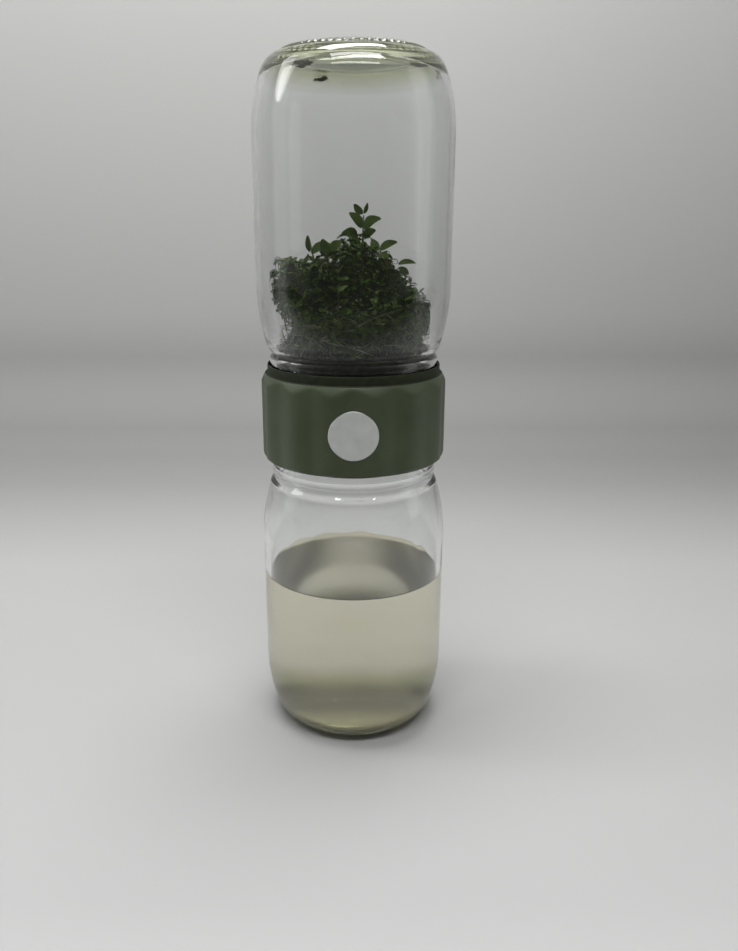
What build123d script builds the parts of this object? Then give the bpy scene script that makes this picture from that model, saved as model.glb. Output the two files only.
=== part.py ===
from build123d import *
import math
import os

# Jar planter: two preserving jars mouth to mouth in one screw collar, water below, plants above

os.makedirs("parts", exist_ok=True)

# Jar, the same one above and below
jar_height = 160.0
body_radius = 48.0
glass_wall = 2.8
floor_thickness = 5.5
push_up = 3.5
bearing_width = 3.0
heel_radius = 14.0
inner_heel_radius = 10.0
flank_radius = 80.0
flank_height = 36.0
shoulder_radius = 93.0
shoulder_length = 27.0
shoulder_lead = 2.4
shoulder_edge_step = 1.8
shoulder_edge_drop = 2.6
edge_fillet = 3.0
inner_edge_fillet = 6.0
neck_step = 6.4
neck_wall = 2.5
inner_neck_fillet = 5.0
groove_depth = 0.7
groove_height = 2.2
groove_fillet = 1.2
bead_stand = 2.6
bead_height = 3.6
mouth_fillet = 0.8

# Collar
engagement = 12.7
thread_space = 1.8
collar_wall = 3.6
flute_count = 14
flute_depth = 1.5
ridge_fillet = 3.0
lip_bevel_width = 1.8
lip_bevel_height = 4.4
bottom_round = 3.4
ring_seat_step = 1.2
ring_seat_depth = 2.0
shelf_width = 8.4
shelf_thickness = 12.2
pocket_wall = 1.7
pocket_floor = 4.2
pocket_rib = 3.2
gasket_thickness = 2.4
gasket_clearance = 0.4

# Badge
badge_radius = 12.35
badge_thickness = 1.6
badge_proud = 0.5
badge_clearance = 0.15
badge_edge_fillet = 0.4
badge_drop = 1.5

# Net basket and felt
flange_thickness = 2.0
cup_clearance = 1.0
cup_taper = 2.5
cup_wall = 1.8
cup_depth = 31.2
upstand_clearance = 1.5
upstand_height = 17.4
slot_count = 12
slot_width = 3.2
slot_height = 18.0
slot_rise = 6.0
floor_hole_count = 8
floor_hole_radius = 2.4
floor_hole_place_share = 0.6
felt_thickness = 2.0

# Neck ring
ring_clearance = 0.3
ring_stand = 3.9

# Water and planting
water_share = 0.8
fill_clearance = 0.3
soil_rise = 10.0
planting_clearance = 0.5
mulch_height = 8.0
mulch_width = 3.4
mulch_fillet = 1.5
stem_radius = 0.8
stem_clearance = 0.3
root_depth = 6.0
tallest_sprig_share = 0.51
leaf_length = 7.2
leaf_width = 4.4
leaf_thickness = 0.6
leaf_lift_angle = 28.0
leaf_pair_spacing = 6.5
leaf_start_height = 1.5
leaf_tip_length = 1.2
cushion_count = 6
cushion_clearance = 0.6
cushion_height_share = 1.12
centre_cushion_share = 0.38
centre_height_share = 1.5
crown_share = 0.7
cut_over = 1.0

# Radii, from the jar's body inwards to the planting
neck_radius = body_radius - neck_step
neck_inner_radius = neck_radius - neck_wall
groove_radius = neck_radius - groove_depth
bead_radius = neck_radius + bead_stand
shoulder_edge_radius = neck_radius + shoulder_edge_step
collar_bore_radius = neck_radius + thread_space
collar_radius = collar_bore_radius + collar_wall
flute_floor = collar_radius - flute_depth
ring_seat_radius = collar_bore_radius + ring_seat_step
shelf_bore_radius = collar_bore_radius - shelf_width
flange_radius = collar_bore_radius - gasket_clearance
cup_radius = shelf_bore_radius - cup_clearance
cup_floor_radius = cup_radius - cup_taper
upstand_radius = neck_inner_radius - upstand_clearance
felt_radius = cup_floor_radius - cup_wall - fill_clearance
planting_radius = neck_inner_radius - planting_clearance
stem_hole_radius = stem_radius + stem_clearance

# Levels in the jar, counted up from its foot
bead_top = jar_height - engagement - ring_stand - ring_clearance
bead_base = bead_top - bead_height
shoulder_edge = bead_base - groove_height - shoulder_edge_drop
shoulder_end = shoulder_edge - shoulder_lead
shoulder_start = shoulder_end - shoulder_length
water_level = shoulder_start * water_share

# Levels up the assembly
collar_base = jar_height - engagement
collar_height = 2 * engagement + 2 * gasket_thickness + flange_thickness + shelf_thickness
collar_top = collar_base + collar_height
overall_height = collar_base + collar_top
dome_rim = overall_height - jar_height
shelf_base = jar_height + gasket_thickness
flange_base = shelf_base + shelf_thickness
flange_top = flange_base + flange_thickness
upstand_top = flange_top + upstand_height
cup_base = flange_base - cup_depth
cup_floor = cup_base + cup_wall
felt_top = cup_floor + felt_thickness
medium_top = upstand_top + soil_rise
mulch_top = medium_top + mulch_height
tallest_sprig = (overall_height - floor_thickness - medium_top) * tallest_sprig_share
badge_seat = flute_floor + badge_proud - badge_thickness
badge_level = collar_base + collar_height / 2 - badge_drop


def heel_arc(radius, floor, flank):
    """Centre radius of the heel's arc and the point where it meets the flank's arc."""
    flank_centre = body_radius - flank_radius
    rise = flank_height - floor - radius
    centre = flank_centre + math.sqrt((flank - radius) ** 2 - rise**2)
    out_share = (centre - flank_centre) / (flank - radius)
    down_share = rise / (flank - radius)
    meet = (centre + radius * out_share, floor + radius - radius * down_share)
    return centre, meet


def shoulder_point(radius, height):
    """Point of the shoulder's arc of this radius at this height."""
    centre = body_radius - shoulder_radius
    return (centre + math.sqrt(radius**2 - (height - shoulder_start) ** 2), height)


def jar_outside():
    """Outline of the jar's outer face, from the axis under the floor to the rim."""
    bearing_radius, meet = heel_arc(heel_radius, 0, flank_radius)
    bead_middle = (bead_top + bead_base) / 2
    shoulder_tip = shoulder_point(shoulder_radius, shoulder_end)
    foot = bearing_radius - bearing_width
    TangentArc((0, push_up), (foot, 0), tangent=(1, 0))
    Line((foot, 0), (bearing_radius, 0))
    TangentArc((bearing_radius, 0), meet, tangent=(1, 0))
    TangentArc((body_radius, flank_height), meet, tangent=(0, -1))
    Line((body_radius, flank_height), (body_radius, shoulder_start))
    TangentArc((body_radius, shoulder_start), shoulder_tip, tangent=(0, 1))
    FilletPolyline(
        shoulder_tip,
        (shoulder_edge_radius, shoulder_edge),
        (groove_radius, shoulder_edge + shoulder_edge_drop),
        (groove_radius, bead_base),
        radius=(edge_fillet, groove_fillet),
    )
    ThreePointArc((groove_radius, bead_base), (bead_radius, bead_middle), (neck_radius, bead_top))
    Line((neck_radius, bead_top), (neck_radius, jar_height))


def cavity_inside(gap, top):
    """Closed outline of the cavity, drawn in by a gap and cut off level at the top."""
    wall = glass_wall + gap
    centre, meet = heel_arc(inner_heel_radius, floor_thickness, flank_radius - wall)
    flank_top = (body_radius - wall, flank_height)
    Line((0, floor_thickness), (centre, floor_thickness))
    TangentArc((centre, floor_thickness), meet, tangent=(1, 0))
    TangentArc(flank_top, meet, tangent=(0, -1))
    if top <= shoulder_start:
        Polyline(flank_top, (body_radius - wall, top), (0, top), (0, floor_thickness))
    else:
        inner_edge = shoulder_end + shoulder_edge_drop
        shoulder_tip = shoulder_point(shoulder_radius - wall, shoulder_end)
        Line(flank_top, (body_radius - wall, shoulder_start))
        TangentArc((body_radius - wall, shoulder_start), shoulder_tip, tangent=(0, 1))
        FilletPolyline(
            shoulder_tip,
            (shoulder_edge_radius - wall, inner_edge),
            (neck_inner_radius, inner_edge + shoulder_edge_drop),
            (neck_inner_radius, top),
            radius=(inner_edge_fillet, inner_neck_fillet),
        )
        Polyline((neck_inner_radius, top), (0, top), (0, floor_thickness))


def jar_section(plane):
    """Half section of the jar, with the mouth towards the plane's local Y."""
    with BuildSketch(plane) as section:
        with BuildLine():
            jar_outside()
            Polyline((neck_radius, jar_height), (0, jar_height), (0, push_up))
        make_face()
        with BuildLine():
            cavity_inside(0, jar_height + cut_over)
        make_face(mode=Mode.SUBTRACT)
        fillet(section.vertices().group_by(Axis.Y)[-1], mouth_fillet)
    return section.sketch


def ring_section(inner, outer, base, top):
    """Half section of a plain ring."""
    with BuildSketch(Plane.XZ) as section:
        with Locations((inner, base)):
            Rectangle(outer - inner, top - base, align=(Align.MIN, Align.MIN))
    return section.sketch


def finish(builder, name):
    """Label a finished piece and write its file."""
    builder.part.label = name
    export_step(builder.part, f"parts/{name}.step")


with BuildPart() as reservoir_jar:
    revolve(jar_section(Plane.XZ), axis=Axis.Z)
finish(reservoir_jar, "reservoir_jar")

# The dome is the same jar upside down, its floor at the top of the assembly
dome_plane = Plane(origin=(0, 0, overall_height), x_dir=(1, 0, 0), z_dir=(0, 1, 0))
with BuildPart() as dome_jar:
    revolve(jar_section(dome_plane), axis=Axis.Z)
finish(dome_jar, "dome_jar")

with BuildPart() as nutrient_water:
    with BuildSketch(Plane.XZ):
        with BuildLine():
            cavity_inside(fill_clearance, water_level)
        make_face()
    revolve(axis=Axis.Z)
finish(nutrient_water, "nutrient_water")


def flute_point(step, radius):
    """Point round the collar, counted in flutes from the one at the front."""
    angle = math.radians(step * 360 / flute_count - 90)
    return (radius * math.cos(angle), radius * math.sin(angle))


with BuildPart() as coupling_collar:
    with BuildSketch(Plane.XY.offset(collar_base)):
        with BuildLine():
            for flute in range(flute_count):
                ThreePointArc(
                    flute_point(flute - 0.5, collar_radius),
                    flute_point(flute, flute_floor),
                    flute_point(flute + 0.5, collar_radius),
                )
        make_face()
        fillet(vertices(), ridge_fillet)
    extrude(amount=collar_height)
    # The turned envelope gives the scalloped lip bevel and the rounded foot
    with BuildSketch(Plane.XZ) as envelope:
        with BuildLine():
            Polyline(
                (0, collar_base),
                (collar_radius, collar_base),
                (collar_radius, collar_top - lip_bevel_height),
                (collar_radius - lip_bevel_width, collar_top),
                (0, collar_top),
                close=True,
            )
        make_face()
        fillet(envelope.vertices().group_by(Axis.Y)[0].sort_by(Axis.X)[-1], bottom_round)
    revolve(axis=Axis.Z, mode=Mode.INTERSECT)
    # Threaded bore below and above, the shelf between them and the seat for the neck ring
    for radius, base, top in (
        (collar_bore_radius, collar_base - cut_over, shelf_base),
        (shelf_bore_radius, shelf_base - cut_over, flange_base + cut_over),
        (collar_bore_radius, flange_base, collar_top + cut_over),
        (ring_seat_radius, collar_top - ring_seat_depth, collar_top + cut_over),
    ):
        revolve(ring_section(0, radius, base, top), axis=Axis.Z, mode=Mode.SUBTRACT)
    # Coring pockets in the shelf, with a rib behind every ridge
    pocket_inside = shelf_bore_radius + pocket_wall
    pocket_outside = collar_bore_radius - pocket_wall
    with BuildSketch(Plane.XY.offset(flange_base)):
        Circle(pocket_outside)
        Circle(pocket_inside, mode=Mode.SUBTRACT)
        with PolarLocations(pocket_outside, flute_count, start_angle=180 / flute_count - 90):
            Rectangle(pocket_outside, pocket_rib, mode=Mode.SUBTRACT)
    extrude(amount=pocket_floor - shelf_thickness, mode=Mode.SUBTRACT)
    # Round seat for the badge
    with BuildSketch(Plane.XZ.offset(badge_seat)):
        with Locations((0, badge_level)):
            Circle(badge_radius + badge_clearance)
    extrude(amount=collar_radius - badge_seat + cut_over, mode=Mode.SUBTRACT)
finish(coupling_collar, "coupling_collar")

with BuildPart() as badge_disc:
    with BuildSketch(Plane.XZ.offset(badge_seat)):
        with Locations((0, badge_level)):
            Circle(badge_radius)
    extrude(amount=badge_thickness)
    fillet(badge_disc.faces().sort_by(Axis.Y)[0].edges(), badge_edge_fillet)
finish(badge_disc, "badge_disc")

# Both gaskets are as wide as the rim, so that the upper one passes through the neck ring
gasket_inner_radius = neck_inner_radius - gasket_clearance
with BuildPart() as lower_gasket:
    revolve(ring_section(gasket_inner_radius, neck_radius, jar_height, shelf_base), axis=Axis.Z)
finish(lower_gasket, "lower_gasket")

with BuildPart() as upper_gasket:
    revolve(ring_section(gasket_inner_radius, neck_radius, flange_top, dome_rim), axis=Axis.Z)
finish(upper_gasket, "upper_gasket")

with BuildPart() as neck_ring:
    ring_inner = neck_radius + ring_clearance
    ring_outer = ring_seat_radius - ring_clearance
    ring_base = collar_top - ring_seat_depth
    revolve(ring_section(ring_inner, ring_outer, ring_base, collar_top + ring_stand), axis=Axis.Z)
    fillet(neck_ring.faces().sort_by(Axis.Z)[-1].edges(), mouth_fillet)
finish(neck_ring, "neck_ring")

with BuildPart() as net_basket:
    with BuildSketch(Plane.XZ):
        with BuildLine():
            Polyline(
                (0, cup_base),
                (cup_floor_radius, cup_base),
                (cup_radius, flange_base),
                (flange_radius, flange_base),
                (flange_radius, flange_top),
                (upstand_radius, flange_top),
                (upstand_radius, upstand_top),
                (upstand_radius - cup_wall, upstand_top),
                (upstand_radius - cup_wall, flange_top),
                (cup_radius - cup_wall, flange_top),
                (cup_floor_radius - cup_wall, cup_floor),
                (0, cup_floor),
                close=True,
            )
        make_face()
    revolve(axis=Axis.Z)
    slot_reach = 2 * (cup_radius - cup_floor_radius + cup_wall)
    with Locations((0, 0, cup_base + slot_rise)):
        with PolarLocations(cup_floor_radius, slot_count):
            Box(
                slot_reach,
                slot_width,
                slot_height,
                align=(Align.CENTER, Align.CENTER, Align.MIN),
                mode=Mode.SUBTRACT,
            )
    with Locations((0, 0, cup_base)):
        Hole(floor_hole_radius, cup_wall * 2)
        with PolarLocations(cup_floor_radius * floor_hole_place_share, floor_hole_count):
            Hole(floor_hole_radius, cup_wall * 2)
finish(net_basket, "net_basket")

with BuildPart() as filter_felt:
    revolve(ring_section(0, felt_radius, cup_floor, felt_top), axis=Axis.Z)
finish(filter_felt, "filter_felt")

# Each sprig's place across and back as shares of the planting's radius, then its height as a
# share of the tallest
sprig_shares = {
    "tall_centre": (0.06, 0.04, 1.0),
    "centre_left": (-0.3, -0.26, 0.76),
    "centre_right": (0.42, -0.16, 0.74),
    "centre_back": (0.02, 0.42, 0.72),
    "inner_left": (-0.38, 0.16, 0.8),
    "left_edge": (-0.77, -0.12, 0.62),
    "left_low": (-0.58, -0.52, 0.4),
    "front_left": (-0.18, -0.72, 0.44),
    "front": (0.26, -0.68, 0.42),
    "right_mid": (0.62, -0.46, 0.46),
    "right_low": (0.78, -0.02, 0.4),
    "back_right": (0.6, 0.46, 0.5),
    "back": (0.24, 0.75, 0.54),
    "back_left": (-0.28, 0.7, 0.58),
    "left_back": (-0.68, 0.34, 0.6),
}


def sprig_place(shares):
    """Place of a sprig's stem on the soil."""
    across_share, back_share, _ = shares
    return (across_share * planting_radius, back_share * planting_radius)


with BuildPart() as growing_medium:
    with BuildSketch(Plane.XZ):
        with BuildLine():
            Polyline(
                (0, felt_top),
                (felt_radius, felt_top),
                (cup_radius - cup_wall - fill_clearance, flange_top + fill_clearance),
                (upstand_radius - cup_wall - fill_clearance, flange_top + fill_clearance),
                (upstand_radius - cup_wall - fill_clearance, upstand_top + fill_clearance),
                (planting_radius, upstand_top + fill_clearance),
                (planting_radius, medium_top),
                (0, medium_top),
                close=True,
            )
        make_face()
    revolve(axis=Axis.Z)
    for shares in sprig_shares.values():
        across, back = sprig_place(shares)
        with Locations((across, back, medium_top)):
            Hole(stem_hole_radius, root_depth)
finish(growing_medium, "growing_medium")

mulch_inner_radius = planting_radius - mulch_width
with BuildPart() as straw_mulch:
    revolve(ring_section(mulch_inner_radius, planting_radius, medium_top, mulch_top), axis=Axis.Z)
    fillet(straw_mulch.faces().sort_by(Axis.Z)[-1].edges(), mulch_fillet)
finish(straw_mulch, "straw_mulch")

# Moss cushions: one in the middle and a ring round it, with a hole for each stem
centre_radius = mulch_inner_radius * centre_cushion_share
cushion_radius = (mulch_inner_radius - centre_radius) / 2 - cushion_clearance
cushion_place = centre_radius + cushion_clearance + cushion_radius
cushions = {"centre": (0, 0, centre_radius, centre_radius * centre_height_share)}
for cushion in range(cushion_count):
    angle = math.radians(cushion * 360 / cushion_count - 90)
    cushions[str(cushion + 1)] = (
        cushion_place * math.cos(angle),
        cushion_place * math.sin(angle),
        cushion_radius,
        cushion_radius * cushion_height_share,
    )
for name, (across, back, radius, height) in cushions.items():
    with BuildPart() as moss_cushion:
        with BuildSketch(Plane((across, back, medium_top), x_dir=(1, 0, 0), z_dir=(0, -1, 0))):
            with BuildLine():
                crown = radius * crown_share
                cap_radius = (radius**2 + crown**2) / (2 * crown)
                middle = height - cap_radius + math.sqrt(cap_radius**2 - (radius / 2) ** 2)
                Polyline((0, height), (0, 0), (radius, 0), (radius, height - crown))
                ThreePointArc((radius, height - crown), (radius / 2, middle), (0, height))
            make_face()
        revolve(axis=Axis((across, back, medium_top), (0, 0, 1)))
        for shares in sprig_shares.values():
            stem_across, stem_back = sprig_place(shares)
            if math.hypot(stem_across - across, stem_back - back) < radius + stem_hole_radius:
                with Locations((stem_across, stem_back, medium_top)):
                    Cylinder(
                        stem_hole_radius,
                        height,
                        align=(Align.CENTER, Align.CENTER, Align.MIN),
                        mode=Mode.SUBTRACT,
                    )
    finish(moss_cushion, f"moss_cushion_{name}")

# One oval leaf along X, to be placed at every leaf joint of the sprigs
with BuildPart() as leaf:
    with BuildSketch():
        with BuildLine():
            ThreePointArc((0, 0), (leaf_length / 2, leaf_width / 2), (leaf_length, 0))
            ThreePointArc((leaf_length, 0), (leaf_length / 2, -leaf_width / 2), (0, 0))
        make_face()
    extrude(amount=leaf_thickness)

for order, (name, shares) in enumerate(sprig_shares.items()):
    across, back = sprig_place(shares)
    moss = max(
        height if math.hypot(across - x, back - y) < radius + leaf_length else 0
        for x, y, radius, height in cushions.values()
    )
    rise = shares[2] * tallest_sprig
    first_pair = max(moss, mulch_height) + leaf_start_height
    pairs = 1 + int((rise - leaf_tip_length - first_pair) / leaf_pair_spacing)
    with BuildPart(Plane((across, back, medium_top - root_depth))) as sprig:
        Cone(
            stem_radius,
            stem_radius / 2,
            root_depth + rise,
            align=(Align.CENTER, Align.CENTER, Align.MIN),
        )
        for pair in range(pairs):
            level = root_depth + rise - leaf_tip_length - pair * leaf_pair_spacing
            turn = 90 * pair + order * 360 / len(sprig_shares)
            with Locations((0, 0, level)):
                with PolarLocations(0, 2, start_angle=turn):
                    add(leaf.part, rotation=(0, -leaf_lift_angle, 0))
    finish(sprig, f"sprig_{name}")
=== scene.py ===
import bpy
import math
import random
from mathutils import Matrix, Vector, noise


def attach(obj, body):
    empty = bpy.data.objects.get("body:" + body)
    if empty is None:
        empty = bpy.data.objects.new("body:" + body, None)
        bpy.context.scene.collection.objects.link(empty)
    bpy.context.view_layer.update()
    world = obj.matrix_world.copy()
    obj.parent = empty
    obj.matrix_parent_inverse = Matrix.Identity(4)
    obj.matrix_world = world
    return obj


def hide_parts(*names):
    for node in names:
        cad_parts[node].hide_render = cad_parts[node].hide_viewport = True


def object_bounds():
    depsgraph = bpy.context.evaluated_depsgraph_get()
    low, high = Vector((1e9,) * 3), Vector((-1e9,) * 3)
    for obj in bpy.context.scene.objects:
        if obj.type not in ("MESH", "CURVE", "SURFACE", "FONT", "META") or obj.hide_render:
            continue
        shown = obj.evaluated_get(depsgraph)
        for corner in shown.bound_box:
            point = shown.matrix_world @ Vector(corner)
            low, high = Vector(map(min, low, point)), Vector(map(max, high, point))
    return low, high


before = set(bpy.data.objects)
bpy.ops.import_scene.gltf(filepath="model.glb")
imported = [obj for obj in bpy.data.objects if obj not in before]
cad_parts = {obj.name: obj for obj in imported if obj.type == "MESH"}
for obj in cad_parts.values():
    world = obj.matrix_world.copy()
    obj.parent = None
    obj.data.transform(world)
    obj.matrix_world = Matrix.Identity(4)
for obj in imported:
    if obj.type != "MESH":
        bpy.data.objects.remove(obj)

# Two preserving jars mouth to mouth in a screw collar: plants under the dome, water below.
# Lengths are in millimetres unless a line says otherwise, and mm turns them into metres
mm = 0.001
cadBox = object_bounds()
straightHalf = 1.56    # half the angle, in radians, of a corner that is as good as straight
shortest = 0.02        # a stretch of outline below this is left out


# Selecting, drawing and finishing

def deselectAll():
    for item in bpy.context.selected_objects:
        item.select_set(False)


def pick(piece):
    deselectAll()
    piece.select_set(True)
    bpy.context.view_layer.objects.active = piece


def linkNew(name, data):
    piece = bpy.data.objects.new(name, data)
    bpy.context.scene.collection.objects.link(piece)
    return piece


def drawPrimitive(addShape, **values):
    # one of Blender's own shapes, as a new mesh
    deselectAll()
    addShape(**values)
    return bpy.context.object


def applyModifiers(piece):
    pick(piece)
    for modifier in list(piece.modifiers):
        bpy.ops.object.modifier_apply(modifier=modifier.name)


def finishPiece(piece, name, body, material, replaced=(), smoothAngle=40):
    # places the piece in its mesh, then names it and gives it its finish and its body
    pick(piece)
    bpy.ops.object.transform_apply(location=True, rotation=True, scale=True)
    piece.name = name
    piece.data.name = name
    piece.data.materials.clear()
    piece.data.materials.append(material)
    bpy.ops.object.shade_smooth_by_angle(angle=math.radians(smoothAngle))
    if replaced:
        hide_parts(*replaced)
    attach(piece, body)


def ringSpot(radius, angle, height=0):
    # the place this far out from Z in this direction
    return Vector((radius * math.cos(angle), radius * math.sin(angle), height))


def movedTo(spot):
    return Matrix.Translation(Vector(spot) * mm)


def turned(angle, axis="Z"):
    return Matrix.Rotation(angle, 4, axis)


def anyTurn():
    return rng.uniform(0, math.tau)


def upTo(most):
    # at random between this much less and this much more
    return rng.uniform(-most, most)


def arcPath(centre, radius, start, end, count):
    # points along an arc, its angles in degrees from straight out
    path = []
    for step in range(count + 1):
        angle = math.radians(start + (end - start) * step / count)
        path.append(Vector((centre[0] + radius * math.cos(angle), centre[1] + radius * math.sin(angle))))
    return path


def filletPath(corners, radii, count=5):
    # the run through these corners, each inner one rounded to its radius
    corners = [Vector(corner) for corner in corners]
    path = [corners[0]]
    for before, corner, after, radius in zip(corners, corners[1:], corners[2:], radii):
        toBefore = (before - corner).normalized()
        toAfter = (after - corner).normalized()
        half = math.acos(max(-1, min(1, toBefore.dot(toAfter)))) / 2
        if radius <= 0 or half > straightHalf:
            path.append(corner)
            continue
        middle = corner + (toBefore + toAfter).normalized() * radius / math.sin(half)
        reach = radius / math.tan(half)
        first = corner + toBefore * reach - middle
        last = corner + toAfter * reach - middle
        start = math.degrees(math.atan2(first.y, first.x))
        turn = (math.degrees(math.atan2(last.y, last.x)) - start + 180) % 360 - 180
        path += arcPath(middle, radius, start, start + turn, count)
    path.append(corners[-1])
    return path


def atLevel(height, radii):
    # outline points at one height
    return [Vector((radius, height)) for radius in radii]


def splitPath(path, longest):
    # the same path with no stretch longer than this
    split = [Vector(path[0])]
    for a, b in zip(path, path[1:]):
        a, b = Vector(a), Vector(b)
        if (b - a).length < shortest:
            continue
        pieces = math.ceil((b - a).length / longest)
        split += [a.lerp(b, step / pieces) for step in range(1, pieces + 1)]
    return split


def turnOutline(outline, steps):
    # draws the outline by extruding one vertex, and spins it round Z
    piece = drawPrimitive(bpy.ops.mesh.primitive_plane_add, size=mm)
    bpy.ops.object.mode_set(mode="EDIT")
    bpy.ops.mesh.select_all(action="SELECT")
    bpy.ops.mesh.merge(type="CENTER")
    bpy.ops.transform.translate(value=(outline[0][0] * mm, 0, outline[0][1] * mm))
    for a, b in zip(outline, outline[1:]):
        move = ((b[0] - a[0]) * mm, 0, (b[1] - a[1]) * mm)
        bpy.ops.mesh.extrude_region_move(TRANSFORM_OT_translate={"value": move})
    bpy.ops.mesh.select_all(action="SELECT")
    bpy.ops.mesh.spin(steps=steps, angle=math.tau, center=(0, 0, 0), axis=(0, 0, 1))
    bpy.ops.mesh.select_all(action="SELECT")
    bpy.ops.mesh.remove_doubles(threshold=0.005 * mm)
    bpy.ops.mesh.normals_make_consistent(inside=False)
    bpy.ops.object.mode_set(mode="OBJECT")
    return piece


def shapeByPlace(piece, shape):
    # moves each vertex to the radius and height that shape gives for its radius, angle and height
    for vertex in piece.data.vertices:
        radius = vertex.co.xy.length / mm
        angle = math.atan2(vertex.co.y, vertex.co.x)
        newRadius, newHeight = shape(radius, angle, vertex.co.z / mm)
        vertex.co = ringSpot(newRadius, angle, newHeight) * mm
    piece.data.update()


def drawTube(points, radius, taper=(), sides=0):
    # a round stem through these points, with sides as the curve's bevel resolution
    curve = bpy.data.curves.new("tube", "CURVE")
    curve.dimensions = "3D"
    curve.bevel_depth = radius * mm
    curve.bevel_resolution = sides
    curve.use_fill_caps = True
    curve.resolution_u = 3
    spline = curve.splines.new("NURBS")
    spline.points.add(len(points) - 1)
    for index, (knot, point) in enumerate(zip(spline.points, points)):
        knot.co = (point[0] * mm, point[1] * mm, point[2] * mm, 1)
        knot.radius = taper[index] if taper else 1
    spline.order_u = 3
    spline.use_endpoint_u = True
    pick(linkNew("tube", curve))
    bpy.ops.object.convert(target="MESH")
    return bpy.context.object


def copyTo(source, place):
    # a copy with its own mesh, moved in the mesh
    mesh = source.data.copy()
    mesh.transform(place)
    return linkNew(source.name, mesh)


def joinPieces(pieces):
    deselectAll()
    for item in pieces:
        item.select_set(True)
    bpy.context.view_layer.objects.active = pieces[0]
    bpy.ops.object.join()
    return bpy.context.object


def discard(*pieces):
    for piece in pieces:
        bpy.data.objects.remove(piece)


def between(value, low, high):
    # 0 below low, 1 above high and smooth between them
    share = max(0, min(1, (value - low) / (high - low)))
    return share * share * (3 - 2 * share)


def alongCurve(value, stops):
    # the height of a line drawn through these stops
    for (a, heightA), (b, heightB) in zip(stops, stops[1:]):
        if value <= b:
            return heightA + (heightB - heightA) * max(0, value - a) / (b - a)
    return stops[-1][1]


# Materials

def linear(hexColour):
    # sRGB hex to linear
    parts = [int(hexColour[i:i + 2], 16) / 255 for i in (1, 3, 5)]
    return tuple(c / 12.92 if c <= 0.04045 else ((c + 0.055) / 1.055) ** 2.4 for c in parts) + (1,)


def newMaterial(name):
    material = bpy.data.materials.new(name)
    material.use_nodes = True
    material.node_tree.nodes.clear()
    return material, material.node_tree


def addNode(tree, kind, settings=(), links=()):
    # one node, with its settings by socket or attribute and its links as socket: (node, output)
    node = tree.nodes.new(kind)
    for key, value in dict(settings).items():
        if key in node.inputs.keys():
            node.inputs[key].default_value = value
        else:
            setattr(node, key, value)
    for key, (source, output) in dict(links).items():
        tree.links.new(source.outputs[output], node.inputs[key])
    return node


def axesOf(tree, space="Object"):
    # the place on the piece as X, Y and Z, in metres
    place = addNode(tree, "ShaderNodeTexCoord")
    return addNode(tree, "ShaderNodeSeparateXYZ", {}, {"Vector": (place, space)})


def noiseAt(tree, sizeMm, detail=3):
    # noise with lumps of this many millimetres
    place = addNode(tree, "ShaderNodeTexCoord")
    return addNode(tree, "ShaderNodeTexNoise", {"Scale": 1 / (sizeMm * mm), "Detail": detail},
                   {"Vector": (place, "Object")})


def mapRange(tree, source, low, high, toLow=0.0, toHigh=1.0):
    return addNode(tree, "ShaderNodeMapRange",
                   {"From Min": low, "From Max": high, "To Min": toLow, "To Max": toHigh}, {"Value": source})


def mathOf(tree, operation, first, second=None):
    # second may be missing, a number or a link
    node = addNode(tree, "ShaderNodeMath", {"operation": operation}, {0: first})
    if isinstance(second, tuple):
        tree.links.new(second[0].outputs[second[1]], node.inputs[1])
    elif second is not None:
        node.inputs[1].default_value = second
    return node


def scaledBy(tree, vector, scale):
    return addNode(tree, "ShaderNodeVectorMath", {"operation": "SCALE"}, {"Scale": scale, "Vector": vector})


def colourRamp(tree, source, stops):
    # a ramp with its stops as position: hex colour
    ramp = addNode(tree, "ShaderNodeValToRGB", {}, {"Fac": source})
    elements = ramp.color_ramp.elements
    while len(elements) < len(stops):
        elements.new(0.5)
    for element, (position, colour) in zip(elements, sorted(stops.items())):
        element.position = position
        element.color = linear(colour)
    return ramp


def addSurface(tree, settings, links):
    shader = addNode(tree, "ShaderNodeBsdfPrincipled", settings, links)
    addNode(tree, "ShaderNodeOutputMaterial", {}, {"Surface": (shader, "BSDF")})


def mottledFinish(name, stops, patchMm, grainMm, grainShare, roughness, uneven=0.06, grainDetail=4,
                  grainDepth=0.5, sockets=()):
    # two sizes of mottling: patches of colour, and a grain in the bump and in the roughness
    material, tree = newMaterial(name)
    colour = colourRamp(tree, (noiseAt(tree, patchMm), "Fac"), stops)
    grain = noiseAt(tree, grainMm, grainDetail)
    bump = addNode(tree, "ShaderNodeBump", {"Strength": grainShare, "Distance": grainMm * mm * grainDepth},
                   {"Height": (grain, "Fac")})
    rough = mapRange(tree, (grain, "Fac"), 0.3, 0.7, roughness - uneven, roughness + uneven)
    addSurface(tree, sockets, {"Base Color": (colour, "Color"), "Roughness": (rough, "Result"),
                               "Normal": (bump, "Normal")})
    return material


# Soda-lime glass, pressed and blown in a mould: clear, slightly wavy, so that lines behind it
# wander, and olive with a green film at the thick foot, which is the dome's top. Both feet are as
# far from the middle level, and the dome's wall is painted a little darker, as shade over its inside. Levels
# in metres
glass = {"waveSize": 14, "waveDepth": 0.25, "hazeSize": 30, "haze": 0.012, "middle": 0.1695,
         "tinted": (0.156, 0.167), "tints": {0.0: "#feffff", 1.0: "#b6bb94"},
         "domeShadeLevels": (0.19, 0.21), "mist": 0.93, "filmed": (0.155, 0.163), "film": 0.94}
jarGlass, tree = newMaterial("pressedJarGlass")
wave = noiseAt(tree, glass["waveSize"], 1)
waveBump = addNode(tree, "ShaderNodeBump", {"Strength": 0.25, "Distance": glass["waveDepth"] * mm},
                   {"Height": (wave, "Fac")})
haze = mapRange(tree, (noiseAt(tree, glass["hazeSize"], 4), "Fac"), 0.5, 0.8, 0.0, glass["haze"])
axes = axesOf(tree)
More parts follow.
